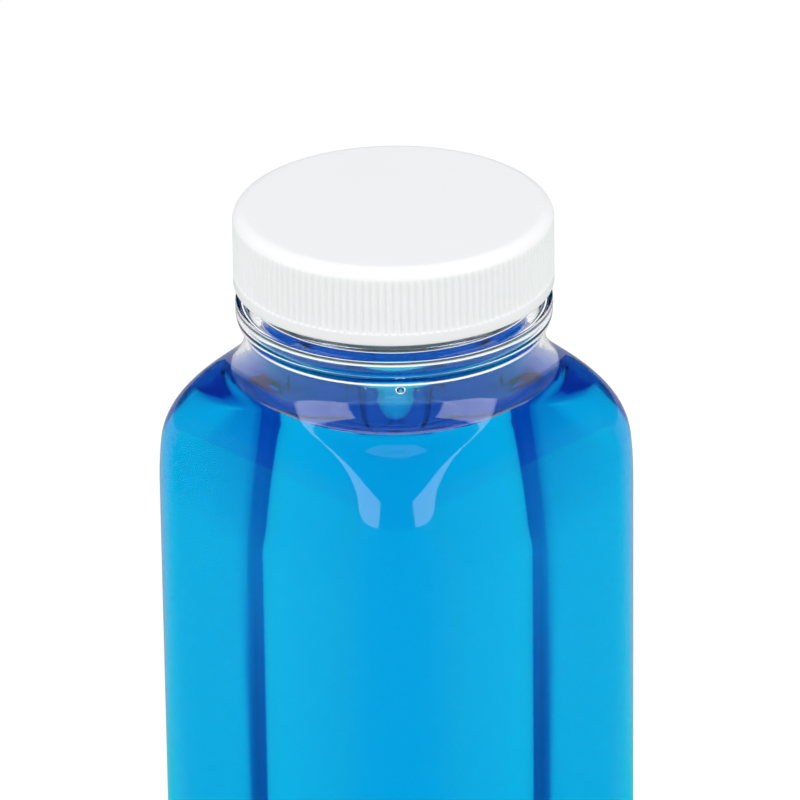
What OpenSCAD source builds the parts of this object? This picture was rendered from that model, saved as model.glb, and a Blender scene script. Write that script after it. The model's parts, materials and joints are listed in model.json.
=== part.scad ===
// Mouthwash bottle: clear square bottle with a round neck, ribbed screw cap, liner and liquid.
// Millimetres, +Z up. The origin is the middle of the base and the flat sides face X and Y.

/* [Body] */
// Width over two flat sides
body_w = 47.6; // [44:0.2:54]
// Radius of the four upright corners
corner_r = 10; // [8:0.5:12]
// Height of the bottle without its cap
bottle_h = 139.7; // [110:0.1:180]
// Thickness of the blown wall
wall_t = 0.8; // [0.6:0.1:1.2]
// Thickness of the base
base_t = 1.2; // [0.8:0.1:1.8]
// Radius of the heel between the sides and the base
heel_r = 5; // [4:0.5:7]
// Diameter of the hollow under the base
punt_d = 30; // [20:1:34]
// Depth of the hollow under the base
punt_h = 3; // [1:0.5:4]
// Diameter of the moulding gate in the middle of the base
gate_d = 3; // [2:0.5:5]
// Height of the moulding gate
gate_h = 0.6; // [0.3:0.1:0.9]

/* [Shoulder] */
// Drop from the neck to where the corners stand upright
corner_drop = 20.1; // [19:0.1:24]
// Drop from the neck to where the flat sides stand upright
side_drop = 12.5; // [11.5:0.1:15]
// Radius of the hollow sweep under the neck, towards a corner
corner_flare = 6.2; // [4:0.1:7]
// Radius of the hollow sweep under the neck, towards a flat side
side_flare = 10.5; // [8:0.1:11]
// Radius of the last slow curve into the upright corner
tail_r = 50; // [30:1:70]
// Lean of the shoulder where that slow curve begins, in degrees
tail_lean = 4; // [2:0.5:6]

/* [Neck] */
// Diameter of the neck under the bead
neck_d = 37.2; // [36.8:0.1:38.4]
// Length of the straight neck under the bead
neck_len = 1.2; // [0.8:0.1:4]
// Diameter of the bead
bead_d = 39.2; // [38.6:0.1:41]
// Height of the bead
bead_h = 3.8; // [3.2:0.1:4.4]
// Height of the bead's upright edge
bead_edge = 1.4; // [0.8:0.1:1.8]
// Height of the screw finish above the bead
finish_h = 9.7; // [9:0.1:12]
// Outer diameter of the screw finish, at the root of its thread
finish_d = 35; // [34.4:0.1:35.4]
// Diameter of the mouth
mouth_d = 32.4; // [30:0.1:33]
// Rounding of the rim of the mouth
lip_r = 0.4; // [0.2:0.1:0.6]

/* [Cap] */
// Outer diameter of the cap over its ribs
cap_d = 39.6; // [39:0.1:42]
// Height of the cap's skirt below its inner ceiling
skirt_h = 8.5; // [7.5:0.1:9.2]
// Thickness of the cap's top
top_t = 1.5; // [1:0.1:2]
// Wall of the cap at the crest of the ribs
cap_wall = 0.95; // [0.8:0.05:1.1]
// Rounding of the cap's upper edge
rim_r = 1.7; // [1.2:0.1:2]
// Number of ribs round the cap
rib_count = 135; // [60:1:150]
// Depth of the grooves between the ribs
groove_depth = 0.22; // [0.1:0.01:0.3]
// Height of the smooth band under the ribs
band_h = 1.5; // [1:0.1:3]
// Chamfer at the cap's lower edge
edge_chamfer = 0.25; // [0.1:0.05:0.4]

/* [Liner] */
// Thickness of the liner
liner_t = 0.8; // [0.5:0.1:1.2]
// Gap between the liner and the wall of the cap
liner_clear = 0.5; // [0.3:0.1:0.8]
// Reach of the ring that keeps the liner in the cap
keeper_reach = 0.9; // [0.6:0.1:1]

/* [Liquid] */
// Drop from the top of the sweep under the neck to the liquid
fill_drop = 4.9; // [2:0.1:8]

/* [Fineness] */
// Facets round each corner of the blown body
corner_steps = 12; // [8:1:14]
// Levels of the blown shoulder
shoulder_steps = 16; // [10:1:18]

/* [Hidden] */
$fn = 96;

root2 = sqrt(2);
half_w = body_w / 2;
half_diagonal = root2 * half_w - (root2 - 1) * corner_r;
neck_r = neck_d / 2;
finish_r = finish_d / 2;
mouth_r = mouth_d / 2;
bead_r = bead_d / 2;
cap_r = cap_d / 2;

// Heights from the base upwards
bead_top_z = bottle_h - finish_h;
bead_low_z = bead_top_z - bead_h;
sweep_z = bead_low_z - neck_len;
side_z = sweep_z - side_drop;
corner_z = sweep_z - corner_drop;
fill_z = sweep_z - fill_drop;
liner_top_z = bottle_h + liner_t;
cap_top_z = liner_top_z + top_t;
cap_low_z = liner_top_z - skirt_h;

// The blown wall ends inside the bead, where the moulded finish takes over
seam_tuck = 0.1;
seam_z = bead_top_z - bead_edge - seam_tuck;
// Step inwards from the blown wall to the moulded finish
finish_step = 0.2;
bead_round = 0.3;
// The mouth widens towards the blown wall from this height above the bead
funnel_h = 1.5;

// Least half width of a flat between two corners of the body
flat_least = 0.05;
// Least distance between the liquid's surface and the next level of the wall
level_gap = 0.3;
heel_steps = 5;

// Punt: one sphere outside and one inside, a base thickness apart
punt_sphere_r = (punt_d * punt_d / 4 + punt_h * punt_h) / (2 * punt_h);
punt_centre_z = punt_h - punt_sphere_r;
// Width of the inner dome beyond the punt, which blends it into the base
dome_skirt = 1;

// Ring that keeps the liner in the cap: its gap under the liner, sloped top, edge and lead-in
keeper_gap = 0.3;
keeper_slope = 0.2;
keeper_edge = 0.3;
keeper_lead = 0.7;

// Radius of the outline at height z. From the top it is a hollow arc under the neck, a round
// shoulder arc and a slow arc into the upright line, each tangent to the next.
function outline(z, top_r, low_r, low_z, flare, slow_r) =
    let (
        inset = slow_r * (1 - cos(tail_lean)),
        slow_z = low_z + slow_r * sin(tail_lean),
        run = low_r - inset - top_r,
        drop = sweep_z - slow_z,
        over = flare - run,
        shoulder_r = (over * over + drop * drop - flare * flare)
            / (2 * (flare - over * cos(tail_lean) - drop * sin(tail_lean))),
        lean = asin((drop + shoulder_r * sin(tail_lean)) / (flare + shoulder_r)),
        turn_z = sweep_z - flare * sin(lean),
        turn_r = top_r + flare * (1 - cos(lean)),
        centre_z = turn_z - shoulder_r * sin(lean),
        centre_r = turn_r - shoulder_r * cos(lean)
    )
    z >= sweep_z ? top_r
    : z >= turn_z ? top_r + flare - sqrt(flare * flare - (sweep_z - z) * (sweep_z - z))
    : z >= slow_z ? centre_r + sqrt(shoulder_r * shoulder_r - (z - centre_z) * (z - centre_z))
    : z >= low_z ? low_r - slow_r + sqrt(slow_r * slow_r - (z - low_z) * (z - low_z))
    : low_r;

// Half width and corner radius of the body's cross-section at height z, inset by a wall
function side_at(z, inset) =
    outline(z, neck_r - inset, half_w - inset, side_z, side_flare + inset, tail_r - inset);
function diagonal_at(z, inset) =
    outline(z, neck_r - inset, half_diagonal - inset, corner_z, corner_flare + inset, tail_r - inset);
function corner_at(z, inset) =
    min((root2 * side_at(z, inset) - diagonal_at(z, inset)) / (root2 - 1), side_at(z, inset) - flat_least);

// One level of the body: a square of half width a with corners of radius r
function level(a, r, z) = [
    for (quarter = [0:3])
        for (step = [0:corner_steps])
            let (
                turn = 90 * (quarter + step / corner_steps),
                middle = 90 * quarter + 45,
                reach = root2 * (a - r)
            )
            [reach * cos(middle) + r * cos(turn), reach * sin(middle) + r * sin(turn), z]
];

function body_level(z, inset) = level(side_at(z, inset), corner_at(z, inset), z);

// Levels of the rounded heel, from the base up
function heel_levels(inset, floor_z, radius) = [
    for (step = [0:heel_steps])
        let (
            turn = 90 * step / heel_steps,
            pull = radius * (1 - sin(turn))
        )
        level(half_w - inset - pull, corner_r - inset - pull, floor_z + radius * (1 - cos(turn)))
];

// Heights of the shoulder's levels, closer together where it curves fastest
shoulder_zs = [
    for (step = [0:shoulder_steps])
        let (z = corner_z + (sweep_z - corner_z) * sin(90 * step / shoulder_steps))
        if (abs(z - fill_z) > level_gap) z
];

outer_levels = concat(
    heel_levels(0, 0, heel_r),
    [for (z = shoulder_zs) body_level(z, 0)],
    [body_level(seam_z, 0)]
);
wet_levels = concat(
    heel_levels(wall_t, base_t, heel_r - wall_t),
    [for (z = shoulder_zs) if (z < fill_z) body_level(z, wall_t)],
    [body_level(fill_z, wall_t)]
);
dry_levels = concat(
    [for (z = shoulder_zs) if (z > fill_z) body_level(z, wall_t)],
    [body_level(seam_z, wall_t)]
);

function reversed(list) = [for (i = [len(list) - 1:-1:0]) list[i]];

// Closed solid through a list of levels that all have the same number of points
module loft(levels) {
    count = len(levels[0]);
    rows = len(levels);
    points = [for (row = levels) each row];
    sides = [
        for (row = [0:rows - 2])
            for (i = [0:count - 1])
                let (
                    next = (i + 1) % count,
                    a = row * count + i,
                    b = row * count + next,
                    c = a + count,
                    d = b + count
                )
                each [[a, c, d], [a, d, b]]
    ];
    first = [for (i = [0:count - 1]) i];
    last = [for (i = [count - 1:-1:0]) (rows - 1) * count + i];
    polyhedron(points, concat([first], sides, [last]), convexity = 8);
}

module punt(radius) {
    translate([0, 0, punt_centre_z]) sphere(r = radius, $fn = 180);
}

// Moulded screw finish and bead, which the blown wall hangs from
module finish() {
    side_low_z = bead_top_z - bead_edge;
    flank_run = bead_r - neck_r;
    flank_drop = bead_h - bead_edge;
    flank_r = (flank_run * flank_run + flank_drop * flank_drop) / (2 * flank_run);
    root_r = neck_r - wall_t / 2;
    flank_end = acos((root_r - bead_r + flank_r) / flank_r);
    rotate_extrude($fn = 180)
        polygon(concat(
            [[neck_r - wall_t - finish_step, bead_low_z], [root_r, bead_low_z]],
            [for (i = [8:-1:0]) let (t = flank_end * i / 8)
                [bead_r - flank_r + flank_r * cos(t), side_low_z - flank_r * sin(t)]],
            [[bead_r, bead_top_z - bead_round], [bead_r - bead_round, bead_top_z],
             [finish_r, bead_top_z]],
            [for (t = [0:30:90])
                [finish_r - lip_r + lip_r * cos(t), bottle_h - lip_r + lip_r * sin(t)]],
            [for (t = [90:30:180])
                [mouth_r + lip_r + lip_r * cos(t), bottle_h - lip_r + lip_r * sin(t)]],
            [[mouth_r, bead_top_z + funnel_h]]
        ));
}

module bottle() {
    color([0.80, 0.90, 0.95, 0.35]) {
        difference() {
            union() {
                loft(concat(outer_levels, reversed(dry_levels), reversed(wet_levels)));
                finish();
                intersection() {
                    punt(punt_sphere_r + base_t);
                    translate([0, 0, base_t / 2])
                        cylinder(r = punt_d / 2 + dome_skirt, h = punt_h + base_t);
                }
            }
            punt(punt_sphere_r);
        }
        // Gate mark, rooted in the base and standing down into the punt
        translate([0, 0, punt_h - gate_h]) cylinder(d = gate_d, h = gate_h + base_t / 2);
    }
}

module mouthwash() {
    color([0.0, 0.68, 0.90, 0.75])
        difference() {
            loft(wet_levels);
            punt(punt_sphere_r + base_t);
        }
}

module cap_liner() {
    color([0.93, 0.94, 0.95])
        translate([0, 0, bottle_h])
            cylinder(r = cap_r - cap_wall - liner_clear, h = liner_t);
}

// Cross-section of the cap: skirt, rounded rim, flat top and the ring that keeps the liner
module cap_section() {
    inner_r = cap_r - cap_wall;
    keeper_r = inner_r - keeper_reach;
    keeper_z = bottle_h - keeper_gap;
    keeper_low_z = keeper_z - keeper_slope - keeper_edge;
    polygon(concat(
        [[inner_r + edge_chamfer, cap_low_z], [cap_r - edge_chamfer, cap_low_z],
         [cap_r, cap_low_z + edge_chamfer]],
        [for (t = [0:10:90])
            [cap_r - rim_r + rim_r * cos(t), cap_top_z - rim_r + rim_r * sin(t)]],
        [[0, cap_top_z], [0, liner_top_z], [inner_r, liner_top_z], [inner_r, keeper_z],
         [keeper_r, keeper_z - keeper_slope], [keeper_r, keeper_low_z],
         [inner_r, keeper_low_z - keeper_lead], [inner_r, cap_low_z + edge_chamfer]]
    ));
}

module cap() {
    color([0.95, 0.95, 0.95])
        difference() {
            rotate_extrude($fn = 180) cap_section();
            for (i = [0:rib_count - 1])
                rotate([0, 0, 360 * i / rib_count])
                    translate([cap_r, 0, cap_low_z + band_h])
                        cylinder(r = groove_depth, h = skirt_h + top_t, $fn = 16);
        }
}

bottle();
cap();
cap_liner();
mouthwash();
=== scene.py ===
"""A clear square bottle of blue mouthwash with a ribbed white screw cap, on a white table."""

import json
import math

import bmesh
import bpy
from bpy.props import FloatProperty, FloatVectorProperty, IntProperty, PointerProperty
from mathutils import Matrix, Vector

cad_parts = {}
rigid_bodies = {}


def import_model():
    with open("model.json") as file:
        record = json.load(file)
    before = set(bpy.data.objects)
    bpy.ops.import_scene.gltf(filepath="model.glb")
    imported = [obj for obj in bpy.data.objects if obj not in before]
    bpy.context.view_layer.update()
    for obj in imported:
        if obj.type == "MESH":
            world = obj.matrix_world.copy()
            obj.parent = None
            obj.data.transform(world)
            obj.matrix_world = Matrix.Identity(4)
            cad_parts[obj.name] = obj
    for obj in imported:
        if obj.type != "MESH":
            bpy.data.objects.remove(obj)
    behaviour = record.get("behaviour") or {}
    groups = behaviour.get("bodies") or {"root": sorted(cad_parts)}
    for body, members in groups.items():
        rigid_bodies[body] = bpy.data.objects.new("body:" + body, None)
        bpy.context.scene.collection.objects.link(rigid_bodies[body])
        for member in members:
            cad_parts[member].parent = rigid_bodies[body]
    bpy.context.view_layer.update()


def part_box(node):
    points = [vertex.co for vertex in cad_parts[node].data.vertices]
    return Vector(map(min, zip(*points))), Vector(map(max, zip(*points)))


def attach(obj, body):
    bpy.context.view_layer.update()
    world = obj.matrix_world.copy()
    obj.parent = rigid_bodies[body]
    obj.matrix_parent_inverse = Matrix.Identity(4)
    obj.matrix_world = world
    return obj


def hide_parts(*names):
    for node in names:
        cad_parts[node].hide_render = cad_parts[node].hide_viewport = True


bl_info = {
    "name": "Mouthwash bottle",
    "version": (1, 0, 0),
    "blender": (4, 5, 0),
    "location": "View3D > Sidebar > Mouthwash",
    "description": "Builds a clear bottle of mouthwash with a ribbed screw cap",
    "category": "Add Mesh",
}

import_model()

MM = 0.001
ROOT2 = math.sqrt(2)

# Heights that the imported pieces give
RIM_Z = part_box("bottle")[1].z
CONTACT_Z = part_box("mouthwash")[1].z
FLOOR_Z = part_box("mouthwash")[0].z
LINER_LOW_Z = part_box("cap_liner")[0].z
LINER_TOP_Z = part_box("cap_liner")[1].z
CAP_LOW_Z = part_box("cap")[0].z
CAP_TOP_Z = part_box("cap")[1].z
BODY_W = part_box("bottle")[1].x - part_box("bottle")[0].x
CAP_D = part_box("cap")[1].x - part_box("cap")[0].x
LINER_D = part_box("cap_liner")[1].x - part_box("cap_liner")[0].x


def linear(code):
    """An sRGB hex colour as linear red, green and blue."""
    parts = [int(code[i:i + 2], 16) / 255 for i in (0, 2, 4)]
    return tuple(p / 12.92 if p <= 0.04045 else ((p + 0.055) / 1.055) ** 2.4 for p in parts)


def length(name, description, size):
    """A setting that holds a length, in metres."""
    return FloatProperty(name=name, description=description, default=size, unit="LENGTH", precision=5)


def angle(name, description, degrees):
    """A setting that holds an angle, given in degrees."""
    return FloatProperty(
        name=name, description=description, default=math.radians(degrees), subtype="ANGLE")


def colour(name, description, value):
    """A setting that holds a linear colour."""
    return FloatVectorProperty(
        name=name, description=description, default=value, subtype="COLOR", min=0)


class BottleSizes(bpy.types.PropertyGroup):
    """Sizes of the blown bottle and its moulded neck"""

    body_w: length("Body width", "Width over two flat sides", BODY_W)
    corner_r: length("Corner radius", "Radius of the four upright corners", 10 * MM)
    wall: length("Wall", "Thickness of the blown wall", 0.8 * MM)
    thin_corner: length(
        "High corner wall", "How much sharper the inner corner is below the shoulder", 0.6 * MM)
    thick_corner: length("Low corner wall", "How much rounder the inner corner is near the base", 1.8 * MM)
    heel_r: length("Heel radius", "Radius between the sides and the base", 5 * MM)
    punt_d: length("Punt diameter", "Diameter of the hollow under the base", 30 * MM)
    punt_h: length("Punt depth", "Depth of the hollow under the base", 3 * MM)
    gate_d: length("Gate diameter", "Diameter of the moulding gate under the base", 3 * MM)
    gate_h: length("Gate height", "Height of the moulding gate", 0.6 * MM)
    corner_drop: length("Corner drop", "Drop from the neck to where the corners stand upright", 20.3 * MM)
    side_drop: length("Side drop", "Drop from the neck to where the flat sides stand upright", 21.7 * MM)
    corner_flare: length("Corner sweep", "Radius of the sweep under the neck, towards a corner", 6.1 * MM)
    side_flare: length("Side sweep", "Radius of the sweep under the neck, towards a flat side", 11.0 * MM)
    tail_r: length("Corner tail radius", "Radius of the last slow curve into the upright corner", 57 * MM)
    tail_lean: angle("Corner tail lean", "Lean of a corner where its slow curve begins", 6)
    side_tail_r: length("Side tail radius", "Radius of the last slow curve into the upright side", 22 * MM)
    side_lean: angle("Side tail lean", "Lean of a flat side where its slow curve begins", 8)
    neck_d: length("Neck diameter", "Diameter of the neck under the bead", 37.2 * MM)
    neck_len: length("Neck length", "Length of the straight neck under the bead", 1.2 * MM)
    bead_d: length("Bead diameter", "Diameter of the bead", 39.2 * MM)
    bead_h: length("Bead height", "Height of the bead", 3.8 * MM)
    bead_edge: length("Bead edge", "Height of the bead's upright edge", 1.4 * MM)
    finish_h: length("Finish height", "Height of the screw finish above the bead", 9.7 * MM)
    finish_d: length("Finish diameter", "Outer diameter of the finish at the root of its thread", 35 * MM)
    mouth_d: length("Mouth diameter", "Diameter of the mouth", 32.4 * MM)
    lip_r: length("Lip rounding", "Rounding of the rim of the mouth", 0.4 * MM)
    pitch: length("Thread pitch", "Rise of the screw thread in one turn", 25.4 / 6 * MM)
    thread_rise: length("Thread rise", "Height above the bead at which the thread starts", 3.3 * MM)
    thread_reach: length("Thread reach", "How far the thread stands out from its root", 1.1 * MM)


class CapSizes(bpy.types.PropertyGroup):
    """Sizes of the screw cap and its liner"""

    cap_d: length("Cap diameter", "Diameter over the ribs", CAP_D)
    wall: length("Cap wall", "Wall of the cap at the crest of the ribs", 0.95 * MM)
    rim_r: length("Rim rounding", "Rounding of the cap's upper edge", 1.7 * MM)
    ribs: IntProperty(name="Ribs", description="Number of ribs round the cap", default=135)
    groove: length("Groove depth", "Depth of the grooves between the ribs", 0.22 * MM)
    band: length("Band height", "Height of the smooth band under the ribs", 1.5 * MM)
    fade: length("Rib fade", "Height over which the ribs fade out below the rim", 2.0 * MM)
    chamfer: length("Edge chamfer", "Chamfer at the cap's lower edge", 0.25 * MM)
    keeper: length("Keeper reach", "Reach of the ring that keeps the liner in the cap", 0.9 * MM)
    liner_d: length("Liner diameter", "Diameter of the foam liner", LINER_D)
    dent: length("Liner dent", "Depth that the rim of the mouth has pressed into the liner", 0.1 * MM)


class LiquidSizes(bpy.types.PropertyGroup):
    """Sizes of the liquid, and the depth of its colour"""

    rise: length("Meniscus rise", "How far the liquid climbs up the wall", 0.9 * MM)
    reach: length("Meniscus reach", "Distance over which the climb dies away", 2.6 * MM)
    overlap: length("Wetting overlap", "How far the liquid's skin lies inside the wall", 0.03 * MM)
    depth: length("Dye depth", "Path of light over which the dye gives its colour", 50 * MM)


class Finishes(bpy.types.PropertyGroup):
    """Colours of the object and its stage"""

    dye: colour("Mouthwash", "Colour of white light after one dye depth of liquid", linear("02A8E0"))
    cap: colour("Cap", "White polypropylene", linear("F2F2F3"))
    foam: colour("Liner", "White polyethylene foam", linear("F0EFEA"))
    table: colour("Table", "Paint of the table top, under the camera's lift", linear("8C8C8C"))
    # Painted reflections: colours that gloss sees on the table in place of its lit paint; the near one is
    # dye-tinted, standing for light that has passed the mouthwash
    painted_near_reflection: colour(
        "Table in gloss", "Table as the bottle's skin mirrors it, lit through the dye", (0.0, 0.8, 0.4))
    painted_far_reflection: colour(
        "Far table in gloss", "Table behind the bottle as the bottle's edges mirror it", (0.44, 0.44, 0.44))
    # Painted light: the blue pool that clear parts see on the table in front of the bottle, standing for
    # light that has passed the mouthwash
    pool: colour("Pool of light", "Light on the table that has passed the mouthwash", (0.0, 0.24, 0.7))
    through: colour("Table seen through", "Table as clear parts show it", (1.12, 1.12, 1.12))
    room_dim: colour("Room overhead", "Dim room overhead, as clear parts show it", (0.10, 0.15, 0.22))
    room_gloss: colour("Room in gloss", "Dim room as gloss mirrors it", (0.02, 0.06, 0.10))


class StudioLevels(bpy.types.PropertyGroup):
    """Light and camera"""

    sky: FloatProperty(
        name="Room light", description="Strength of the even light from all round",
        default=0.9, min=0)
    white_to: angle(
        "White up to", "Height above the horizon up to which clear parts show the room white", 0)
    dim_from: angle("Dim from", "Height above the horizon from which clear parts show the room dim", 6)
    softbox: FloatProperty(
        name="Soft box", description="Radiance of the two soft boxes",
        default=2.6, min=0)
    box_turn: angle("Soft box turn", "Turn of each soft box from the camera's side", 58)
    box_rise: angle("Soft box rise", "Angle of each soft box above the horizon", 15)
    box_away: length("Soft box distance", "Distance of each soft box from the neck", 1.0)
    box_w: length("Soft box width", "Width of each soft box", 0.85)
    box_h: length("Soft box height", "Height of each soft box", 0.6)
    lift: FloatProperty(
        name="Table lift", description="White that the camera sees added to the lit table",
        default=0.75, min=0)
    # The painted blue pool of light on the table: left out within the foot radius, full out to its radius,
    # gone at its reach
    foot_r: length("Foot radius", "Radius of the white spot that the base shows under the bottle", 30 * MM)
    painted_pool_r: length("Pool radius", "Radius of the blue pool of light in front of the bottle", 80 * MM)
    painted_pool_reach: length("Pool reach", "Distance at which the blue pool has faded out", 200 * MM)
    lens: FloatProperty(
        name="Lens", description="Focal length of the camera",
        default=379.0, unit="CAMERA")
    distance: length("Distance", "Distance from the camera to the point it looks at", 1045 * MM)
    aim_x: length("Aim to the right", "How far right of the axis the camera looks", 0.5621 * MM)
    aim_drop: length("Aim drop", "How far below the cap's top the camera looks", 26.395 * MM)
    elevation: angle("Elevation", "Angle of the camera above the horizon", 25.13)
    azimuth: angle("Azimuth", "Turn of the camera round the bottle, onto a corner", 45)
    roll: angle("Roll", "Tilt of the camera about its own line of sight", -0.7335)


class Mouthwash(bpy.types.PropertyGroup):
    """All settings of the bottle"""

    bottle: PointerProperty(type=BottleSizes)
    cap: PointerProperty(type=CapSizes)
    liquid: PointerProperty(type=LiquidSizes)
    finishes: PointerProperty(type=Finishes)
    studio: PointerProperty(type=StudioLevels)


# Fineness of the lofted rings: cuts round each corner and along each flat side
CORNER_CUTS = 24
FLAT_CUTS = 6
# Least half width of a flat between two corners
FLAT_LEAST = 0.05 * MM
# Doubles closer than this are one vertex
WELD = 0.0005 * MM


# Selecting and shaping, as by hand

def deselect():
    """Leaves nothing selected and nothing in edit mode."""
    if bpy.context.object and bpy.context.object.mode != "OBJECT":
        bpy.ops.object.mode_set(mode="OBJECT")
    for item in bpy.context.view_layer.objects:
        item.select_set(False)


def activate(piece):
    """Makes a piece the only one selected."""
    deselect()
    piece.select_set(True)
    bpy.context.view_layer.objects.active = piece


def edit_edges(piece):
    """Opens a piece in edit mode with edges to select and none selected."""
    activate(piece)
    bpy.ops.object.mode_set(mode="EDIT")
    bpy.ops.mesh.select_mode(type="EDGE")
    bpy.ops.mesh.select_all(action="DESELECT")
    return bmesh.from_edit_mesh(piece.data)


def select_open(piece, wanted):
    """Selects the open edges whose middle passes the test."""
    skin = bmesh.from_edit_mesh(piece.data)
    for edge in skin.edges:
        middle = (edge.verts[0].co + edge.verts[1].co) / 2
        edge.select_set(edge.is_boundary and wanted(middle))
    bmesh.update_edit_mesh(piece.data)


def loft(name, rings):
    """A skin over rounded squares, each a half width, a corner radius and a height, in order of height."""
    deselect()
    for number, (half, radius, height) in enumerate(rings):
        if number:
            bpy.ops.mesh.select_all(action="DESELECT")
        bpy.ops.mesh.primitive_plane_add(size=2 * half, location=(0, 0, height))
        if not number:
            piece = bpy.context.object
            bpy.ops.object.mode_set(mode="EDIT")
            bpy.ops.mesh.select_mode(type="EDGE")
        bpy.ops.mesh.bevel(offset=radius, segments=CORNER_CUTS, affect="VERTICES", clamp_overlap=False)
        bpy.ops.mesh.delete(type="ONLY_FACE")
        skin = bmesh.from_edit_mesh(piece.data)
        close = 0.001 * MM
        for edge in [e for e in skin.edges if e.select]:
            ends = [v.co + piece.location for v in edge.verts]
            flat = any(all(abs(abs(p[i]) - half) < close for p in ends) for i in (0, 1))
            along = abs((ends[0] - ends[1]).length - 2 * (half - radius)) < close
            edge.select_set(flat and along)
        bpy.ops.mesh.subdivide(number_cuts=FLAT_CUTS)
    bpy.ops.mesh.select_all(action="SELECT")
    bpy.ops.mesh.bridge_edge_loops()
    bpy.ops.object.mode_set(mode="OBJECT")
    bpy.ops.object.transform_apply(location=True, rotation=True, scale=True)
    piece.name = name
    return piece


def lathe(name, profile, count, shape=None):
    """A skin of rings, each a radius and a height, extruded one from the last. shape may press them in."""
    deselect()
    radius, height = profile[0]
    bpy.ops.mesh.primitive_circle_add(vertices=count, radius=radius, location=(0, 0, height))
    piece = bpy.context.object
    bpy.ops.object.transform_apply(location=True, rotation=True, scale=True)
    bpy.ops.object.mode_set(mode="EDIT")
    bpy.ops.mesh.select_mode(type="VERT")
    bpy.ops.mesh.select_all(action="SELECT")
    last_radius, last_height = radius, height
    for radius, height in profile[1:]:
        rise = (0, 0, height - last_height)
        bpy.ops.mesh.extrude_region_move(TRANSFORM_OT_translate={"value": rise})
        share = radius / last_radius
        bpy.ops.transform.resize(value=(share, share, 1), center_override=(0, 0, height))
        last_radius, last_height = radius, height
    if shape:
        shape(piece)
    bpy.ops.mesh.select_mode(type="EDGE")
    bpy.ops.mesh.select_all(action="DESELECT")
    bpy.ops.object.mode_set(mode="OBJECT")
    piece.name = name
    return piece


def bridge(piece, wanted):
    """Joins two open rings whose edges pass the test."""
    edit_edges(piece)
    select_open(piece, wanted)
    bpy.ops.mesh.bridge_edge_loops()
    bpy.ops.object.mode_set(mode="OBJECT")


def close_ring(piece, wanted):
    """Fills an open ring whose edges pass the test with one face."""
    edit_edges(piece)
    select_open(piece, wanted)
    bpy.ops.mesh.edge_face_add()
    bpy.ops.object.mode_set(mode="OBJECT")


def join(name, pieces):
    """Makes several pieces one mesh."""
    activate(pieces[0])
    for piece in pieces:
        piece.select_set(True)
    bpy.ops.object.join()
    joined = bpy.context.object
    joined.name = name
    return joined


def settle(piece, smooth_to=35):
    """Merges doubles, turns the faces outwards and shades edges smooth up to an angle in degrees."""
    activate(piece)
    bpy.ops.object.mode_set(mode="EDIT")
    bpy.ops.mesh.select_all(action="SELECT")
    bpy.ops.mesh.remove_doubles(threshold=WELD)
    bpy.ops.mesh.normals_make_consistent(inside=False)
    bpy.ops.object.mode_set(mode="OBJECT")
    bpy.ops.object.shade_smooth_by_angle(angle=math.radians(smooth_to))
    return piece


def unite(piece, other):
    """Fuses another closed piece into this one."""
    activate(piece)
    fuse = piece.modifiers.new("fuse", "BOOLEAN")
    fuse.operation = "UNION"
    fuse.solver = "EXACT"
    fuse.object = other
    bpy.ops.object.modifier_apply(modifier=fuse.name)
    bpy.data.objects.remove(other)
    return piece


def place(piece, body, node, slot, *materials):
    """Gives a finished piece its materials and its body, and hides the node it stands for. slot is not
    used.
    """
    piece.data.materials.clear()
    for material in materials:
        piece.data.materials.append(material)
    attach(piece, body)
    if node:
        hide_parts(node)
    return piece


# The bottle's outline

def outline(b, height, top_r, low_r, drop, flare, slow_r, lean):
    """Radius at a height: from the neck down a hollow arc, a shoulder arc and a slow arc, all tangent."""
    sweep_z = neck_heights(b)["sweep"]
    low_z = sweep_z - drop
    slow_z = low_z + slow_r * math.sin(lean)
    run = low_r - slow_r * (1 - math.cos(lean)) - top_r
    fall = sweep_z - slow_z
    over = flare - run
    gain = flare - over * math.cos(lean) - fall * math.sin(lean)
    shoulder_r = (over * over + fall * fall - flare * flare) / (2 * gain)
    tilt = math.asin((fall + shoulder_r * math.sin(lean)) / (flare + shoulder_r))
    turn_z = sweep_z - flare * math.sin(tilt)
    centre_z = turn_z - shoulder_r * math.sin(tilt)
    centre_r = top_r + flare * (1 - math.cos(tilt)) - shoulder_r * math.cos(tilt)
    if height >= sweep_z:
        return top_r
    if height >= turn_z:
        return top_r + flare - math.sqrt(flare ** 2 - (sweep_z - height) ** 2)
    if height >= slow_z:
        return centre_r + math.sqrt(shoulder_r ** 2 - (height - centre_z) ** 2)
    if height >= low_z:
        return low_r - slow_r + math.sqrt(slow_r ** 2 - (height - low_z) ** 2)
    return low_r


def neck_heights(b):
    """Heights of the bead and of the sweep under the neck."""
    bead_top = RIM_Z - b.finish_h
    bead_low = bead_top - b.bead_h
    return {"bead_top": bead_top, "bead_low": bead_low, "sweep": bead_low - b.neck_len}


def body_ring(b, height, inset=0.0, corner_gain=0.0):
    """The body's rounded square at a height, drawn in by inset."""
    half_w = b.body_w / 2
    half_diagonal = ROOT2 * half_w - (ROOT2 - 1) * b.corner_r
    neck_r = b.neck_d / 2 - inset
    half = outline(b, height, neck_r, half_w - inset, b.side_drop, b.side_flare + inset,
                   b.side_tail_r - inset, b.side_lean)
    over = outline(b, height, neck_r, half_diagonal - inset, b.corner_drop, b.corner_flare + inset,
                   b.tail_r - inset, b.tail_lean)
    radius = (ROOT2 * half - over) / (ROOT2 - 1) + corner_gain
    return half, min(radius, half - FLAT_LEAST), height


def round_ring(radius, height):
    """A ring that is round but for its four least flats."""
    return radius, radius - FLAT_LEAST, height


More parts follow.
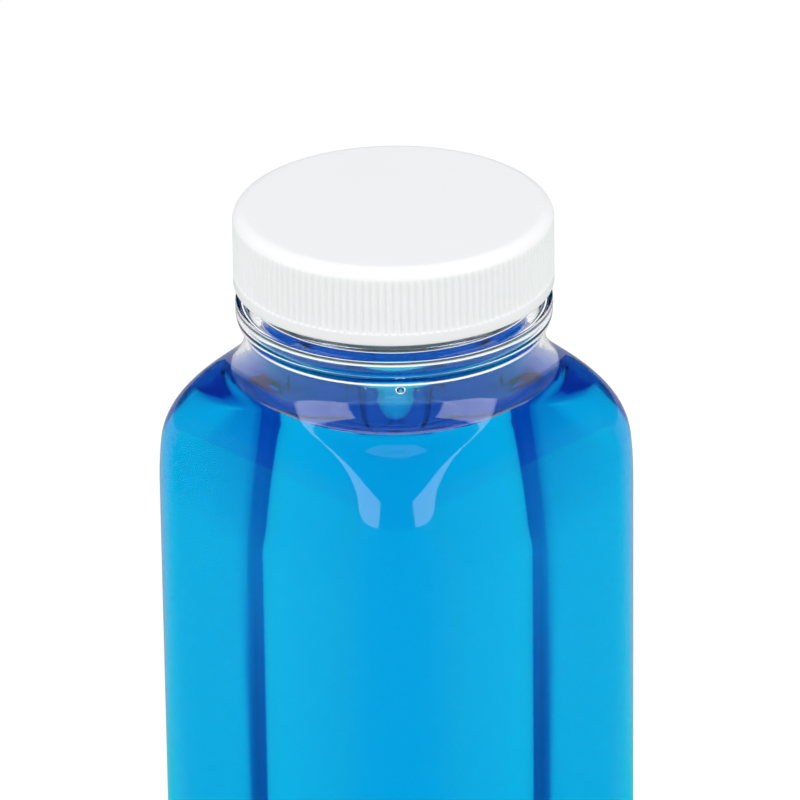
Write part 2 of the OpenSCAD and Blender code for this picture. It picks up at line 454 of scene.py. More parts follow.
def heel(b, inset, floor_z, radius, steps=10):
    """Rings of the rounded heel, from the base up."""
    rings = []
    for step in range(steps + 1):
        turn = math.pi / 2 * step / steps
        pull = radius * (1 - math.sin(turn))
        half = b.body_w / 2 - inset - pull
        corner = b.corner_r - inset - pull + inner_gain(b, floor_z) * (inset > 0)
        rings.append((half, corner, floor_z + radius * (1 - math.cos(turn))))
    return rings


def inner_gain(b, height):
    """How much rounder the inner corner is than an even wall would make it."""
    top = neck_heights(b)["sweep"] - b.corner_drop
    share = min(max((top - height) / (top - b.heel_r), 0), 1)
    return -b.thin_corner + (b.thin_corner + b.thick_corner) * share


def span(low, high, steps):
    """Evenly spaced heights from low to high, both counted."""
    return [low + (high - low) * step / steps for step in range(steps + 1)]


def arc(centre, radius, start, end, steps):
    """Points on an arc, as radius and height, between two angles in degrees."""
    points = []
    for step in range(steps + 1):
        turn = math.radians(start + (end - start) * step / steps)
        points.append((centre[0] + radius * math.cos(turn), centre[1] + radius * math.sin(turn)))
    return points


def shoulder_heights(b, steps=44):
    """Heights over the shoulder, closer together under the neck, where it curves fastest."""
    sweep = neck_heights(b)["sweep"]
    low = sweep - max(b.corner_drop, b.side_drop)
    return [low + (sweep - low) * math.sin(math.pi / 2 * step / steps) for step in range(steps + 1)]


def outer_wall(b):
    """Rings of the outside, from the foot to the rim."""
    levels = neck_heights(b)
    neck_r = b.neck_d / 2
    bead_r = b.bead_d / 2
    finish_r = b.finish_d / 2
    rings = heel(b, 0, 0, b.heel_r)
    corner_z = levels["sweep"] - max(b.corner_drop, b.side_drop)
    rings += [body_ring(b, z) for z in span(b.heel_r, corner_z, 16)[1:-1]]
    rings += [body_ring(b, z) for z in shoulder_heights(b)]
    # The bead's lower flank is an arc, with a small fillet into the neck
    run = bead_r - neck_r
    fall = b.bead_h - b.bead_edge
    flank_r = (run ** 2 + fall ** 2) / (2 * run)
    flank = (bead_r - flank_r, levels["bead_top"] - b.bead_edge)
    fillet = 1.0 * MM
    reach = math.sqrt((flank_r + fillet) ** 2 - (neck_r + fillet - flank[0]) ** 2)
    start = math.degrees(math.asin(reach / (flank_r + fillet)))
    profile = arc((neck_r + fillet, flank[1] - reach), fillet, 180, 180 - start, 5)
    profile += arc(flank, flank_r, -start, 0, 8)[1:]
    # Upright edge, its rounded top, and a shallow slope up to the finish
    edge = 0.3 * MM
    slope = 0.06 * MM
    root = 0.3 * MM
    profile += arc((bead_r - edge, levels["bead_top"] - edge), edge, 0, 75, 4)
    profile += [(finish_r + root, levels["bead_top"] + slope)]
    profile += arc((finish_r + root, levels["bead_top"] + slope + root), root, 250, 180, 4)
    profile += [(finish_r, z) for z in span(levels["bead_top"] + 1 * MM, RIM_Z - 1 * MM, 6)]
    profile += arc((finish_r - b.lip_r, RIM_Z - b.lip_r), b.lip_r, 0, 90, 6)
    return rings + [round_ring(*point) for point in profile]


def inner_wall(b):
    """Rings of the inside, from the floor to the rim."""
    levels = neck_heights(b)
    sweep = levels["sweep"]
    mouth_r = b.mouth_d / 2
    neck_r = b.neck_d / 2 - b.wall
    rings = heel(b, b.wall, FLOOR_Z, b.heel_r - b.wall)
    corner_z = sweep - max(b.corner_drop, b.side_drop)
    for z in span(b.heel_r, corner_z, 16)[1:-1] + shoulder_heights(b):
        rings.append(body_ring(b, z, b.wall, inner_gain(b, z) * fade_in(sweep - z, b.corner_drop)))
    # The bead is hollow: the inside follows it, then draws in to the mouth
    hollow_r = b.bead_d / 2 - b.wall
    out_z = levels["bead_low"] + 0.1 * MM
    in_z = levels["bead_top"] - b.bead_edge + 0.2 * MM
    profile = [(neck_r, sweep + 0.5 * MM)]
    swell_h = 2.1 * MM
    draw_h = 2.2 * MM
    profile += [(neck_r + (hollow_r - neck_r) * fade_in(z - out_z, swell_h), z)
                for z in span(out_z, in_z, 8)]
    profile += [(hollow_r + (mouth_r - hollow_r) * fade_in(z - in_z, draw_h), z)
                for z in span(in_z, in_z + draw_h, 10)[1:]]
    profile += [(mouth_r, z) for z in span(levels["bead_top"] + 2.4 * MM, RIM_Z - 1 * MM, 4)]
    # It ends just under the rim, because two rings at one height would be bridged the wrong way round
    profile += arc((mouth_r + b.lip_r, RIM_Z - b.lip_r), b.lip_r, 180, 110, 5)
    return rings + [round_ring(*point) for point in profile]


def fade_in(way, whole):
    """0 at the start of a way, 1 once it is whole, and smooth between."""
    share = min(max(way / whole, 0), 1)
    return share * share * (3 - 2 * share)


def dome(b, extra, low_z, least, steps=12):
    """Rings of the punt's sphere, from where it leaves a floor up to a least radius. extra thickens it."""
    sphere_r = ((b.punt_d / 2) ** 2 + b.punt_h ** 2) / (2 * b.punt_h)
    centre_z = b.punt_h - sphere_r
    radius = sphere_r + extra
    wide = math.sqrt(radius ** 2 - (low_z - centre_z) ** 2)
    rings = []
    for step in range(steps + 1):
        r = wide + (least - wide) * math.sin(math.pi / 2 * step / steps)
        rings.append(round_ring(r, centre_z + math.sqrt(radius ** 2 - r * r)))
    return rings


def helix(name, root_r, crest_r, start_z, pitch, turns):
    """A screw thread: one trapezoid turned up a screw, its ends drawn down into the root."""
    # Share of a turn over which an end sinks, and steps in one turn
    lead = 0.09
    steps = 72
    # How far the thread's foot goes into the wall, and half its height at the foot and at the crest
    sunk = 0.35 * MM * (1 if root_r > crest_r else -1)
    foot = 1.25 * MM
    top = 0.5 * MM
    deselect()
    middle = (root_r + sunk + crest_r) / 2
    bpy.ops.mesh.primitive_plane_add(size=1, location=(middle, 0, start_z), rotation=(math.pi / 2, 0, 0))
    piece = bpy.context.object
    piece.scale = (abs(crest_r - root_r - sunk), 2 * foot, 1)
    bpy.ops.object.transform_apply(location=True, rotation=True, scale=True)
    for vertex in piece.data.vertices:
        if abs(vertex.co.x - crest_r) < abs(crest_r - middle) / 2:
            vertex.co.z = start_z + math.copysign(top, vertex.co.z - start_z)
    bpy.ops.object.mode_set(mode="EDIT")
    bpy.ops.mesh.delete(type="ONLY_FACE")
    bpy.ops.object.mode_set(mode="OBJECT")
    screw = piece.modifiers.new("screw", "SCREW")
    screw.axis = "Z"
    screw.angle = 2 * math.pi * turns
    screw.screw_offset = pitch * turns
    screw.steps = screw.render_steps = round(steps * turns)
    screw.use_smooth_shade = False
    bpy.ops.object.modifier_apply(modifier=screw.name)
    for vertex in piece.data.vertices:
        # The height above the thread's own foot tells how far round a vertex lies
        turn = math.atan2(vertex.co.y, vertex.co.x) / (2 * math.pi)
        gone = round((vertex.co.z - start_z) / pitch - turn) + turn
        share = fade_in(min(gone, turns - gone), lead)
        radius = math.hypot(vertex.co.x, vertex.co.y)
        deep = root_r + sunk
        wanted = deep + (radius - deep) * (0.3 + 0.7 * share)
        vertex.co.x *= wanted / radius
        vertex.co.y *= wanted / radius
    piece.name = name
    edit_edges(piece)
    select_open(piece, lambda middle: True)
    bpy.ops.mesh.edge_face_add()
    bpy.ops.object.mode_set(mode="OBJECT")
    return settle(piece)


# Materials

def add(tree, kind, settings=None, links=None):
    """Adds a node, sets its sockets or properties, and links its inputs."""
    node = tree.nodes.new(kind)
    for name, value in (settings or {}).items():
        if isinstance(name, int) or name in node.inputs:
            node.inputs[name].default_value = value
        else:
            setattr(node, name, value)
    for name, source in (links or {}).items():
        tree.links.new(source, node.inputs[name])
    return node


def new_material(name):
    """An empty material and its node tree."""
    material = bpy.data.materials.new(name)
    material.use_nodes = True
    material.node_tree.nodes.clear()
    return material, material.node_tree


def clear_pet(name, gloss):
    """Stretch-blown PET: glass clear, with the slow waves of blowing. gloss scales what it mirrors."""
    material, tree = new_material(name)
    place_on = add(tree, "ShaderNodeTexCoord").outputs["Object"]
    # Length and depth of the slow waves, and of the fine orange peel
    wave_len, wave_depth = 14 * MM, 0.012 * MM
    peel_len, peel_depth = 1.6 * MM, 0.0004 * MM
    waves = add(tree, "ShaderNodeTexNoise", {"Scale": 1 / wave_len, "Detail": 1.0}, {"Vector": place_on})
    peel = add(tree, "ShaderNodeTexNoise", {"Scale": 1 / peel_len, "Detail": 2.0}, {"Vector": place_on})
    slow = add(tree, "ShaderNodeBump", {"Strength": 1.0, "Distance": wave_depth},
               {"Height": waves.outputs["Fac"]})
    fine = add(tree, "ShaderNodeBump", {"Strength": 1.0, "Distance": peel_depth},
               {"Height": peel.outputs["Fac"], "Normal": slow.outputs["Normal"]})
    skin = add(tree, "ShaderNodeBsdfPrincipled", {
        "Base Color": (1, 1, 1, 1), "Roughness": 0.02, "IOR": 1.57,
        "Transmission Weight": 1.0, "Specular Tint": (gloss, gloss, gloss, 1),
    }, {"Normal": fine.outputs["Normal"]})
    add(tree, "ShaderNodeOutputMaterial", links={"Surface": skin.outputs["BSDF"]})
    return material


def dyed_liquid(finishes, liquid):
    """Mouthwash: clear water with a blue dye, darker the more of it light passes."""
    material, tree = new_material("mouthwash_blue_dye")
    passed = [max(c, 0.0008) for c in finishes.dye]
    density = -math.log(min(passed)) / liquid.depth
    tint = [1 + math.log(c) / (liquid.depth * density) for c in passed]
    skin = add(tree, "ShaderNodeBsdfPrincipled", {
        "Base Color": (1, 1, 1, 1), "Roughness": 0.0, "IOR": 1.333,
        "Transmission Weight": 1.0, "Specular Tint": (0.03, 0.03, 0.03, 1),
    })
    dye = add(tree, "ShaderNodeVolumeAbsorption", {"Color": (*tint, 1), "Density": density})
    add(tree, "ShaderNodeOutputMaterial",
        links={"Surface": skin.outputs["BSDF"], "Volume": dye.outputs["Volume"]})
    return material


def moulded_polypropylene(finishes):
    """Injection-moulded polypropylene: dense white, a satin skin with a fine spark-eroded grain."""
    material, tree = new_material("polypropylene_white")
    place_on = add(tree, "ShaderNodeTexCoord").outputs["Object"]
    # Width of the mould's grain, and of the patches in which its shine changes
    grain_w = 0.35 * MM
    patch_w = 9 * MM
    grain = add(tree, "ShaderNodeTexNoise", {"Scale": 1 / grain_w, "Detail": 3.0, "Roughness": 0.6},
                {"Vector": place_on})
    flow = add(tree, "ShaderNodeTexNoise", {"Scale": 1 / patch_w, "Detail": 2.0}, {"Vector": place_on})
    shine = add(tree, "ShaderNodeMapRange", {"To Min": 0.34, "To Max": 0.44},
                {"Value": flow.outputs["Fac"]})
    relief = add(tree, "ShaderNodeBump", {"Strength": 0.5, "Distance": 0.006 * MM},
                 {"Height": grain.outputs["Fac"]})
    skin = add(tree, "ShaderNodeBsdfPrincipled", {
        "Base Color": (*finishes.cap, 1), "IOR": 1.49, "Specular IOR Level": 0.3,
        "Subsurface Weight": 0.15, "Subsurface Radius": (1, 1, 1), "Subsurface Scale": 0.6 * MM,
    }, {"Roughness": shine.outputs["Result"], "Normal": relief.outputs["Normal"]})
    add(tree, "ShaderNodeOutputMaterial", links={"Surface": skin.outputs["BSDF"]})
    return material


def pressed_foam(finishes):
    """Pressed polyethylene foam: matt white with closed cells a fifth of a millimetre wide."""
    material, tree = new_material("polyethylene_foam")
    place_on = add(tree, "ShaderNodeTexCoord").outputs["Object"]
    cell_w = 0.2 * MM
    cells = add(tree, "ShaderNodeTexVoronoi", {"Scale": 1 / cell_w}, {"Vector": place_on})
    relief = add(tree, "ShaderNodeBump", {"Strength": 0.6, "Distance": 0.03 * MM, "invert": True},
                 {"Height": cells.outputs["Distance"]})
    skin = add(tree, "ShaderNodeBsdfPrincipled", {
        "Base Color": (*finishes.foam, 1), "Roughness": 0.6, "IOR": 1.5,
    }, {"Normal": relief.outputs["Normal"]})
    add(tree, "ShaderNodeOutputMaterial", links={"Surface": skin.outputs["BSDF"]})
    return material


# Operators

class MOUTHWASH_OT_bottle(bpy.types.Operator):
    """Builds the clear bottle with its bead and screw thread"""

    bl_idname = "mouthwash.bottle"
    bl_label = "Bottle"

    def execute(self, context):
        b = context.scene.mouthwash.bottle
        foot_z = 0.03 * MM
        gate_r = b.gate_d / 2
        outer = loft("outside", outer_wall(b))
        inner = loft("inside", inner_wall(b))
        under = loft("punt", dome(b, 0, foot_z, gate_r))
        above = loft("dome", dome(b, FLOOR_Z, FLOOR_Z + foot_z, gate_r))
        bottle = join("bottle_pet", [outer, inner, under, above])
        bridge(bottle, lambda p: p.z > RIM_Z - 0.1 * MM)
        bridge(bottle, lambda p: p.z < 2 * foot_z)
        bridge(bottle, lambda p: FLOOR_Z - foot_z < p.z < FLOOR_Z + 2 * foot_z)
        close_ring(bottle, lambda p: p.z > b.punt_h + FLOOR_Z / 2)
        close_ring(bottle, lambda p: p.z > b.punt_h / 2)
        activate(bottle)
        bpy.ops.object.mode_set(mode="EDIT")
        bpy.ops.mesh.select_mode(type="FACE")
        bpy.ops.mesh.select_all(action="DESELECT")
        skin = bmesh.from_edit_mesh(bottle.data)
        for face in skin.faces:
            middle = face.calc_center_median()
            on_axis = middle.xy.length < 0.1 * MM and len(face.verts) > 8
            face.select_set(on_axis and middle.z < b.punt_h)
        bpy.ops.mesh.inset(thickness=0.1 * MM)
        drop = (0, 0, -b.gate_h)
        bpy.ops.mesh.extrude_region_move(TRANSFORM_OT_translate={"value": drop})
        bpy.ops.mesh.inset(thickness=0.2 * MM)
        bpy.ops.object.mode_set(mode="OBJECT")
        settle(bottle)
        levels = neck_heights(b)
        root_r = b.finish_d / 2
        start_z = levels["bead_top"] + b.thread_rise
        unite(bottle, helix("thread", root_r, root_r + b.thread_reach, start_z, b.pitch, 1.0))
        settle(bottle)
        # The wall that the liquid wets hardly mirrors, because the two bend light alike
        dry = clear_pet("pet_stretch_blown", 0.7)
        wetted = clear_pet("pet_wetted", 0.03)
        place(bottle, "bottle", "bottle", "pet_clear", dry, wetted)
        for face in bottle.data.polygons:
            middle = face.center
            inward = face.normal.xy.dot(middle.xy) < 0 or (face.normal.z > 0.5 and middle.z < b.heel_r)
            if inward and FLOOR_Z / 2 < middle.z < CONTACT_Z:
                face.material_index = 1
        return {"FINISHED"}


class MOUTHWASH_OT_liquid(bpy.types.Operator):
    """Fills the bottle with mouthwash, with a meniscus at the wall"""

    bl_idname = "mouthwash.liquid"
    bl_label = "Mouthwash"

    def execute(self, context):
        settings = context.scene.mouthwash
        b = settings.bottle
        liquid = settings.liquid
        more = liquid.overlap
        foot_z = 0.03 * MM
        wall = [(half + more, radius + more, z) for half, radius, z in inner_wall(b) if z < CONTACT_Z]
        gain = inner_gain(b, CONTACT_Z) * fade_in(neck_heights(b)["sweep"] - CONTACT_Z, b.corner_drop)
        half, radius, top = body_ring(b, CONTACT_Z, b.wall, gain)
        wall = [(h, r, z - more if z < FLOOR_Z + more else z) for h, r, z in wall]
        wall.append((half + more, radius + more, top))
        surface = []
        # Distances of the surface's rings from the wall, in millimetres
        for way in (0.25, 0.6, 1.0, 1.5, 2.1, 2.9, 4.0, 5.5, 7.5, 10.0, 13.0):
            pull = way * MM
            climb = liquid.rise * math.exp(-pull / liquid.reach)
            surface.append((half - pull, radius - pull, top - liquid.rise + climb))
        sides = loft("sides", wall)
        pool = loft("pool", surface)
        low = loft("low", dome(b, FLOOR_Z - more, FLOOR_Z - more + foot_z, b.gate_d / 2))
        wash = join("mouthwash_liquid", [sides, pool, low])
        # Of the open rings in the surface, only the middle one lies within this radius
        least_r = half - 11.5 * MM
        bridge(wash, lambda p: p.z > top - liquid.rise * 0.3)
        bridge(wash, lambda p: p.z < FLOOR_Z + 0.1 * MM)
        close_ring(wash, lambda p: p.z < b.punt_h + 3 * MM)
        close_ring(wash, lambda p: p.z > top - 2 * liquid.rise and p.xy.length < least_r)
        settle(wash, 60)
        place(wash, "bottle", "mouthwash", "mouthwash_blue", dyed_liquid(settings.finishes, liquid))
        return {"FINISHED"}


class MOUTHWASH_OT_drops(bpy.types.Operator):
    """Leaves a few drops of mouthwash on the inside of the neck"""

    bl_idname = "mouthwash.drops"
    bl_label = "Drops"

    def execute(self, context):
        settings = context.scene.mouthwash
        b = settings.bottle
        liquid = settings.liquid
        wall_r = b.neck_d / 2 - b.wall + liquid.overlap
        drops = []
        # Degrees from the camera's side, millimetres above the foot of the neck, and radius of each drop
        for turn, rise, radius in ((2.0, 0.45, 0.62), (-11.5, 0.6, 0.14), (9.0, 0.3, 0.09)):
            radius *= MM
            # A drop is a little flatter than half a ball
            dome_r = radius * 1.08
            centre = -math.sqrt(dome_r ** 2 - radius ** 2)
            start = math.degrees(math.asin(-centre / dome_r))
            profile = [(radius * 0.1, 0), (radius * 0.6, 0)] + arc((0, centre), dome_r, start, 86, 12)
            drop = lathe("drop", profile, 32)
            close_ring(drop, lambda p: p.z < radius / 2)
            close_ring(drop, lambda p: p.z > radius / 2)
            a = settings.studio.azimuth + math.radians(turn)
            way = Vector((math.sin(a), -math.cos(a), 0))
            at = way * wall_r + Vector((0, 0, neck_heights(b)["sweep"] + rise * MM))
            inwards = (-way).to_track_quat("Z", "Y").to_matrix().to_4x4()
            drop.data.transform(Matrix.Translation(at) @ inwards)
            drops.append(drop)
        drops = settle(join("mouthwash_drops", drops), 60)
        place(drops, "bottle", None, "mouthwash_blue", bpy.data.materials["mouthwash_blue_dye"])
        return {"FINISHED"}


class MOUTHWASH_OT_cap(bpy.types.Operator):
    """Builds the ribbed screw cap with its inner thread and keeper ring"""

    bl_idname = "mouthwash.cap"
    bl_label = "Cap"

    def execute(self, context):
        settings = context.scene.mouthwash
        c = settings.cap
        b = settings.bottle
        outer_r = c.cap_d / 2
        inner_r = outer_r - c.wall
        keeper_r = inner_r - c.keeper
        keeper_z = RIM_Z - 0.3 * MM
        rim_z = CAP_TOP_Z - c.rim_r
        ribs_z = CAP_LOW_Z + c.band
        # Smallest ring in the middle of a disc, and steps round each rib
        least = 0.4 * MM
        steps = 6
        ceiling = [(least, LINER_TOP_Z), (inner_r / 2, LINER_TOP_Z)]
        ceiling += arc((inner_r - 0.2 * MM, LINER_TOP_Z - 0.2 * MM), 0.2 * MM, 90, 0, 3)
        ring = [(inner_r, keeper_z), (keeper_r + 0.1 * MM, keeper_z - 0.15 * MM),
                (keeper_r, keeper_z - 0.3 * MM), (keeper_r, keeper_z - 0.5 * MM),
                (inner_r, keeper_z - 1.2 * MM)]
        skirt = [(inner_r, z) for z in span(keeper_z - 2 * MM, CAP_LOW_Z + c.chamfer, 4)]
        edge = arc((inner_r + c.chamfer, CAP_LOW_Z + c.chamfer), c.chamfer, 180, 270, 3)[1:]
        edge += arc((outer_r - c.chamfer, CAP_LOW_Z + c.chamfer), c.chamfer, 270, 360, 4)
        side = [(outer_r, z) for z in (ribs_z - 0.12 * MM, ribs_z, ribs_z + 0.06 * MM, ribs_z + 0.14 * MM)]
        side += [(outer_r, z) for z in span(ribs_z + 0.5 * MM, rim_z - 0.4 * MM, 12)]
        rim = arc((outer_r - c.rim_r, rim_z), c.rim_r, 0, 90, 12)
        top = [(outer_r * share, CAP_TOP_Z) for share in (0.88, 0.8, 0.5, 0.2)] + [(least, CAP_TOP_Z)]

        def press_ribs(piece):
            """Presses the grooves into the rings of the side, fading out towards the rim."""
            skin = bmesh.from_edit_mesh(piece.data)
            for vertex in skin.verts:
                radius = vertex.co.xy.length
                if vertex.co.z < ribs_z - 0.01 * MM or radius < outer_r - c.rim_r:
                    continue
                turn = math.atan2(vertex.co.y, vertex.co.x) / (2 * math.pi) * c.ribs
                wave = (0.5 + 0.5 * math.cos(2 * math.pi * turn)) ** 1.3
                rise = fade_in(vertex.co.z - ribs_z, 0.2 * MM)
                depth = c.groove * wave * rise * fade_in(CAP_TOP_Z - 0.7 * MM - vertex.co.z, c.fade)
                wanted = min(radius, outer_r - depth)
                vertex.co.x *= wanted / radius
                vertex.co.y *= wanted / radius
            bmesh.update_edit_mesh(piece.data)

        profile = ceiling + ring + skirt + edge + side + rim[1:] + top
        cap = lathe("cap_polypropylene", profile, c.ribs * steps, press_ribs)
        close_ring(cap, lambda p: p.z < CAP_TOP_Z - 0.5 * MM)
        close_ring(cap, lambda p: p.z > CAP_TOP_Z - 0.5 * MM)
        settle(cap, 40)
        thread_z = neck_heights(b)["bead_top"] + b.thread_rise - b.pitch / 2
        start = 0.42
        turns = 0.95
        thread = helix("cap_thread", inner_r, keeper_r, thread_z + start * b.pitch, b.pitch, turns)
        thread.data.transform(Matrix.Rotation(2 * math.pi * start, 4, "Z"))
        unite(cap, thread)
        settle(cap, 40)
        place(cap, "cap", "cap", "cap_white", moulded_polypropylene(settings.finishes))
        return {"FINISHED"}


class MOUTHWASH_OT_liner(bpy.types.Operator):
    """Builds the foam liner with the dent that the rim has pressed into it"""

    bl_idname = "mouthwash.liner"
    bl_label = "Liner"

    def execute(self, context):
        settings = context.scene.mouthwash
        c = settings.cap
        b = settings.bottle
        radius = c.liner_d / 2
        low = LINER_LOW_Z
        edge = 0.12 * MM
        least = 0.4 * MM
        rim_in = b.mouth_d / 2
        rim_out = b.finish_d / 2
        # The dent's sides slope over this width
        slope = 0.3 * MM
        profile = [(least, low), (rim_in * 0.6, low), (rim_in - slope, low), (rim_in, low + c.dent * 0.3)]
        profile += [(rim_in + slope, low + c.dent), (rim_out - slope, low + c.dent)]
        profile += [(rim_out, low + c.dent * 0.3), (rim_out + 0.25 * MM, low)]
        profile += arc((radius - edge, low + edge), edge, 270, 360, 4)
        profile += arc((radius - edge, LINER_TOP_Z - edge), edge, 0, 90, 4)
        profile += [(radius * 0.5, LINER_TOP_Z), (least, LINER_TOP_Z)]
        liner = lathe("cap_liner_foam", profile, 144)
        middle_z = (low + LINER_TOP_Z) / 2
        close_ring(liner, lambda p: p.z < middle_z)
        close_ring(liner, lambda p: p.z > middle_z)
        settle(liner)
        place(liner, "liner", "cap_liner", "liner_foam", pressed_foam(settings.finishes))
        return {"FINISHED"}


class MOUTHWASH_OT_camera(bpy.types.Operator):
    """Sets the camera at the photograph's viewing angle"""

    bl_idname = "mouthwash.camera"
    bl_label = "Camera"

    def execute(self, context):
        s = context.scene.mouthwash.studio
        aim = Vector((s.aim_x, 0, CAP_TOP_Z - s.aim_drop))
        forward = Vector((0, math.cos(s.elevation), -math.sin(s.elevation)))
        up = Vector((0, math.sin(s.elevation), math.cos(s.elevation)))
        right = Vector((1, 0, 0))
        turn = Matrix((right, up, -forward)).transposed().to_4x4()
        deselect()
        bpy.ops.object.camera_add()
        camera = bpy.context.object
        camera.name = "camera"
        camera.data.sensor_width = 36
        camera.data.lens = s.lens
        camera.data.clip_end = 100
        seen = Matrix.Translation(aim - forward * s.distance) @ turn @ Matrix.Rotation(s.roll, 4, "Z")
        camera.matrix_world = Matrix.Rotation(s.azimuth, 4, "Z") @ seen
        context.scene.camera = camera
        return {"FINISHED"}


class MOUTHWASH_OT_stage(bpy.types.Operator):
    """Sets up the white table, the even room light and the two soft boxes"""

    bl_idname = "mouthwash.stage"
    bl_label = "Stage"

    def execute(self, context):
        settings = context.scene.mouthwash
        s = settings.studio
        context.scene.view_settings.view_transform = "Standard"
        # Light turns many times inside the clear walls before it leaves them
        paths = context.scene.cycles
        paths.max_bounces = paths.transmission_bounces = 32
        paths.glossy_bounces = 16
        deselect()
        bpy.ops.mesh.primitive_plane_add(size=8, location=(0, 0, -0.02 * MM))
        table = bpy.context.object
        table.name = "table"
        bpy.ops.object.transform_apply(location=True)
        table.data.materials.append(table_top(settings.finishes, s))
        room(settings.finishes, s)
        soft_box(s, "softbox_left", -s.box_turn)
        soft_box(s, "softbox_right", s.box_turn)
        return {"FINISHED"}


def smooth_step(tree, value, start, end, levels=(0.0, 1.0)):
    """A smooth change from the first level to the second, between two values."""
    return add(tree, "ShaderNodeMapRange", {
        "interpolation_type": "SMOOTHSTEP", "From Min": start, "From Max": end,
        "To Min": levels[0], "To Max": levels[1],
    }, {"Value": value})


def mix_colours(tree, share, first, second):
    """The first colour, and more of the second as the share grows."""
    return add(tree, "ShaderNodeMix", {"data_type": "RGBA", 6: (*first, 1), 7: (*second, 1)}, {0: share})


def table_top(finishes, s):
    """Matt paint, which the camera sees lifted to white, with the bottle's shadow kept; clear parts see a
    painted blue pool of light on it, and gloss sees painted reflections instead of its lit paint.
    """
    material, tree = new_material("table_paint")
    seen = add(tree, "ShaderNodeLightPath")
    place_on = add(tree, "ShaderNodeTexCoord").outputs["Object"]
    across = add(tree, "ShaderNodeVectorRotate", {"rotation_type": "Z_AXIS", "Angle": -s.azimuth},
                 {"Vector": place_on})
    depth = add(tree, "ShaderNodeSeparateXYZ", links={"Vector": across.outputs["Vector"]})
    away = add(tree, "ShaderNodeVectorMath", {"operation": "LENGTH"}, {0: place_on})
    paint = add(tree, "ShaderNodeBsdfDiffuse", {"Color": (*finishes.table, 1)})
    glow = add(tree, "ShaderNodeEmission", {"Color": (1, 1, 1, 1), "Strength": s.lift})
    lifted = add(tree, "ShaderNodeAddShader",
                 links={0: paint.outputs["BSDF"], 1: glow.outputs["Emission"]})
    # A painted blue pool of light, seen only through clear parts, stands for light that has passed the
    # bottle onto the table in front of it; under the bottle it is left out
    foot_edge = 10 * MM
    side_edge = 20 * MM
    front = smooth_step(tree, away.outputs["Value"], s.painted_pool_r, s.painted_pool_reach)
    inside = smooth_step(tree, away.outputs["Value"], s.foot_r, s.foot_r + foot_edge, (1.0, 0.0))
    side = smooth_step(tree, depth.outputs["Y"], -side_edge, side_edge)
    open_side = add(tree, "ShaderNodeMath", {"operation": "MAXIMUM"},
                    {0: front.outputs["Result"], 1: side.outputs["Result"]})
    outside_painted_pool = add(tree, "ShaderNodeMath", {"operation": "MAXIMUM"},
                   {0: open_side.outputs["Value"], 1: inside.outputs["Result"]})
    pool = mix_colours(tree, outside_painted_pool.outputs["Value"], finishes.pool, finishes.through)
    through = add(tree, "ShaderNodeEmission", links={"Color": pool.outputs[2]})
    # Painted reflections: gloss sees the near table as a set glow in the dye's colour, standing for light
    # that has passed the dye, and the table behind the bottle as a set grey
    near, far = 60 * MM, 180 * MM
    behind = smooth_step(tree, depth.outputs["Y"], near, far)
    painted_reflection_colour = mix_colours(tree, behind.outputs["Result"], finishes.painted_near_reflection, finishes.painted_far_reflection)
    painted_reflection = add(tree, "ShaderNodeEmission", links={"Color": painted_reflection_colour.outputs[2]})
    plain = add(tree, "ShaderNodeMixShader", links={
        0: seen.outputs["Is Glossy Ray"], 1: paint.outputs["BSDF"], 2: painted_reflection.outputs["Emission"]})
    clear = add(tree, "ShaderNodeMixShader", links={
        0: seen.outputs["Is Transmission Ray"], 1: plain.outputs["Shader"], 2: through.outputs["Emission"]})
    shown = add(tree, "ShaderNodeMixShader", links={
        0: seen.outputs["Is Camera Ray"], 1: clear.outputs["Shader"], 2: lifted.outputs["Shader"]})
    add(tree, "ShaderNodeOutputMaterial", links={"Surface": shown.outputs["Shader"]})
    return material


def room(finishes, s):
    """The room: even light, white to the eye and low down through clear parts, else dim."""
    world = bpy.data.worlds.new("room")
    bpy.context.scene.world = world
    world.use_nodes = True
    tree = world.node_tree
    tree.nodes.clear()
    seen = add(tree, "ShaderNodeLightPath")
    way = add(tree, "ShaderNodeTexCoord").outputs["Generated"]
    height = add(tree, "ShaderNodeSeparateXYZ", links={"Vector": way})
    overhead = smooth_step(tree, height.outputs["Z"], math.sin(s.white_to), math.sin(s.dim_from))
    through = mix_colours(tree, overhead.outputs["Result"], (1, 1, 1), finishes.room_dim)
    plain = mix_colours(tree, seen.outputs["Is Glossy Ray"], (s.sky,) * 3, finishes.room_gloss)
    clear = add(tree, "ShaderNodeMix", {"data_type": "RGBA"},
                {0: seen.outputs["Is Transmission Ray"], 6: plain.outputs[2], 7: through.outputs[2]})
    shown = add(tree, "ShaderNodeMix", {"data_type": "RGBA", 7: (1, 1, 1, 1)},
                {0: seen.outputs["Is Camera Ray"], 6: clear.outputs[2]})
    back = add(tree, "ShaderNodeBackground", links={"Color": shown.outputs[2]})
    add(tree, "ShaderNodeOutputWorld", links={"Surface": back.outputs["Background"]})


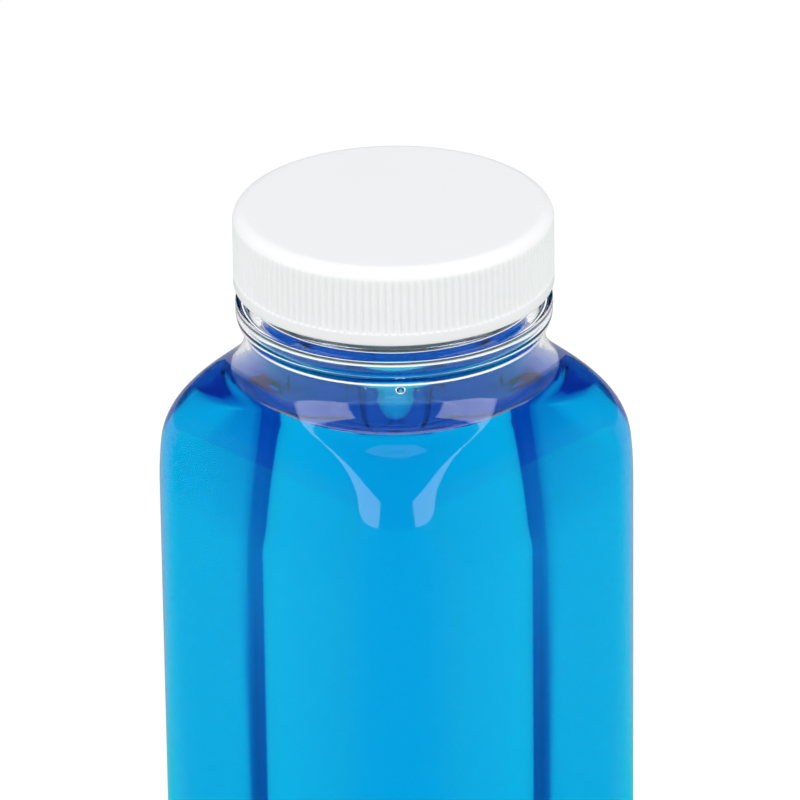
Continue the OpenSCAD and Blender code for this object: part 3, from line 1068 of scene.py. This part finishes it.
def soft_box(s, name, turn):
    """A soft box that faces the bottle's neck, turned from the camera's side, positive to the right."""
    a = s.azimuth + turn
    e = s.box_rise
    way = Vector((math.sin(a) * math.cos(e), -math.cos(a) * math.cos(e), math.sin(e)))
    deselect()
    bpy.ops.object.light_add(type="AREA")
    lamp = bpy.context.object
    lamp.name = name
    lamp.data.shape = "RECTANGLE"
    lamp.data.size = s.box_w
    lamp.data.size_y = s.box_h
    lamp.data.energy = s.softbox * math.pi * s.box_w * s.box_h
    lamp.location = Vector((0, 0, CONTACT_Z)) + way * s.box_away
    lamp.rotation_mode = "QUATERNION"
    lamp.rotation_quaternion = way.to_track_quat("Z", "Y")
    return lamp


class VIEW3D_PT_mouthwash(bpy.types.Panel):
    """Lists the pieces of the bottle and its stage"""

    bl_label = "Mouthwash bottle"
    bl_space_type = "VIEW_3D"
    bl_region_type = "UI"
    bl_category = "Mouthwash"

    def draw(self, context):
        for operator in OPERATORS:
            self.layout.operator(operator.bl_idname)


OPERATORS = (
    MOUTHWASH_OT_camera,
    MOUTHWASH_OT_bottle,
    MOUTHWASH_OT_liquid,
    MOUTHWASH_OT_drops,
    MOUTHWASH_OT_cap,
    MOUTHWASH_OT_liner,
    MOUTHWASH_OT_stage,
)
CLASSES = (BottleSizes, CapSizes, LiquidSizes, Finishes, StudioLevels, Mouthwash) + OPERATORS + (
    VIEW3D_PT_mouthwash,)


def register():
    """Registers the classes and hangs the settings on the scene."""
    for item in CLASSES:
        bpy.utils.register_class(item)
    bpy.types.Scene.mouthwash = PointerProperty(type=Mouthwash)


def unregister():
    """Takes the settings and the classes away again."""
    del bpy.types.Scene.mouthwash
    for item in reversed(CLASSES):
        bpy.utils.unregister_class(item)


def main():
    """Builds the object and its stage."""
    register()
    bpy.ops.mouthwash.camera()
    bpy.ops.mouthwash.bottle()
    bpy.ops.mouthwash.liquid()
    bpy.ops.mouthwash.drops()
    bpy.ops.mouthwash.cap()
    bpy.ops.mouthwash.liner()
    bpy.ops.mouthwash.stage()


if __name__ == "__main__":
    main()
